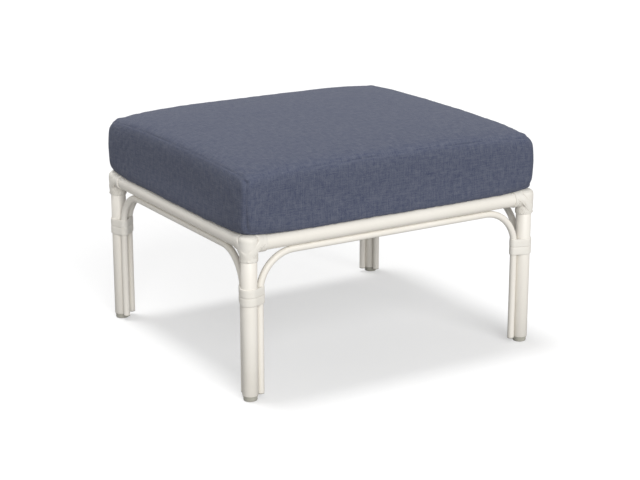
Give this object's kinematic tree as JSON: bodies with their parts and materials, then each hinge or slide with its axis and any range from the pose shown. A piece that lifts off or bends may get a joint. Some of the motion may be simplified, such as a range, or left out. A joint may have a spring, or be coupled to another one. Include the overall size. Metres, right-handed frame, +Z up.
{
  "type": "outdoor ottoman footstool",
  "caption": "Low square-cornered footstool of painted round tube with bent arch poles, strap bindings, foot glides and a loose box cushion.",
  "frame": {"origin": "on the floor, under the middle of the stool", "axes": "+Z up, +X along the long side, +Y from the front to the back panel, which holds the cushion's zip"},
  "size_m": [0.7, 0.624, 0.4753],
  "materials": {
    "frame_paint": "satin ivory powder coat",
    "binding_strap": "matte ivory strap",
    "glide_plastic": "matte grey",
    "cover_fabric": "plain woven slate blue outdoor cloth",
    "foam": "open-cell foam",
    "zip_tape_fabric": "woven tape with a coil zip",
    "zip_metal": "dull zinc"
  },
  "bodies": {
    "frame": {"post_front_left": "frame_paint", "post_cap_front_left": "frame_paint", "glide_front_left": "glide_plastic", "mid_binding_front_left": "binding_strap", "corner_binding_front_left": "binding_strap", "post_front_right": "frame_paint", "post_cap_front_right": "frame_paint", "glide_front_right": "glide_plastic", "mid_binding_front_right": "binding_strap", "corner_binding_front_right": "binding_strap", "post_back_right": "frame_paint", "post_cap_back_right": "frame_paint", "glide_back_right": "glide_plastic", "mid_binding_back_right": "binding_strap", "corner_binding_back_right": "binding_strap", "post_back_left": "frame_paint", "post_cap_back_left": "frame_paint", "glide_back_left": "glide_plastic", "mid_binding_back_left": "binding_strap", "corner_binding_back_left": "binding_strap", "rail_front": "frame_paint", "arch_front": "frame_paint", "arch_plug_front_1": "glide_plastic", "arch_plug_front_2": "glide_plastic", "rail_right": "frame_paint", "arch_right": "frame_paint", "arch_plug_right_1": "glide_plastic", "arch_plug_right_2": "glide_plastic", "rail_back": "frame_paint", "arch_back": "frame_paint", "arch_plug_back_1": "glide_plastic", "arch_plug_back_2": "glide_plastic", "rail_left": "frame_paint", "arch_left": "frame_paint", "arch_plug_left_1": "glide_plastic", "arch_plug_left_2": "glide_plastic", "deck_bar_1": "frame_paint", "deck_bar_2": "frame_paint", "deck_bar_3": "frame_paint", "deck_bar_4": "frame_paint", "deck_bar_5": "frame_paint"},
    "cushion": {"cushion_cover": "cover_fabric", "foam_core": "foam", "zip_tape": "zip_tape_fabric", "zip_slider": "zip_metal"}
  },
  "joints": [
    {"name": "cushion_lift", "type": "slide", "parent": "frame", "child": "cushion", "axis": [0, 0, 1], "range_m": [0, 0.16]}
  ]
}
